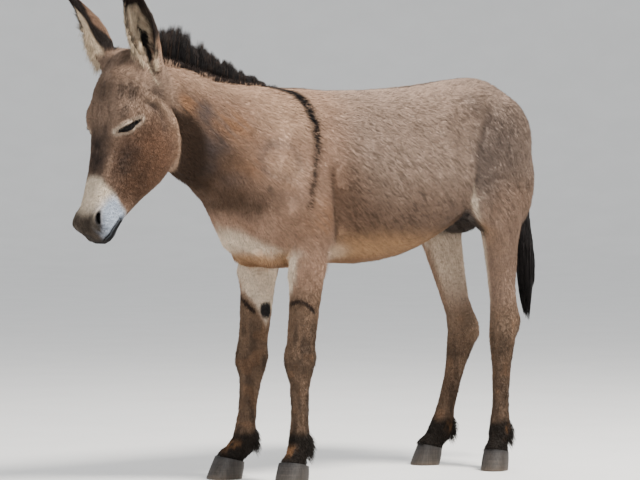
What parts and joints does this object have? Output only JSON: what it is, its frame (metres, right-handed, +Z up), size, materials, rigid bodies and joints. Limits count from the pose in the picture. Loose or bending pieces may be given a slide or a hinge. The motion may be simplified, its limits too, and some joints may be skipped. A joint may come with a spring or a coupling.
{
  "type": "standing donkey model",
  "caption": "Life-size still model of a standing donkey with an upright mane, long ears and a shoulder stripe.",
  "frame": {"origin": "middle of the box round the donkey, at the level of its soles", "axes": "+Z up, the donkey faces -X, its left side faces -Y"},
  "size_m": [1.6672, 0.4246, 1.4288],
  "materials": {
    "coat": "short grey-brown summer coat with cream chest, groin and muzzle",
    "dark_coat": "near-black fetlocks and pasterns",
    "long_hair": "dark brown mane and black tail switch",
    "hoof": "dry grey-brown horn",
    "eye": "wet, nearly black"
  },
  "bodies": {
    "root": {"head": "coat", "ear_left": "coat", "ear_right": "coat", "eye_left": "eye", "eye_right": "eye", "neck": "coat", "mane": "long_hair", "shoulders": "coat", "barrel": "coat", "croup": "coat", "tail_dock": "coat", "tail_switch": "long_hair", "fore_left_forearm": "coat", "fore_left_cannon": "coat", "fore_left_pastern": "dark_coat", "fore_left_hoof": "hoof", "fore_right_forearm": "coat", "fore_right_cannon": "coat", "fore_right_pastern": "dark_coat", "fore_right_hoof": "hoof", "hind_left_thigh": "coat", "hind_left_gaskin": "coat", "hind_left_cannon": "coat", "hind_left_pastern": "dark_coat", "hind_left_hoof": "hoof", "hind_right_thigh": "coat", "hind_right_gaskin": "coat", "hind_right_cannon": "coat", "hind_right_pastern": "dark_coat", "hind_right_hoof": "hoof"}
  },
  "joints": []
}
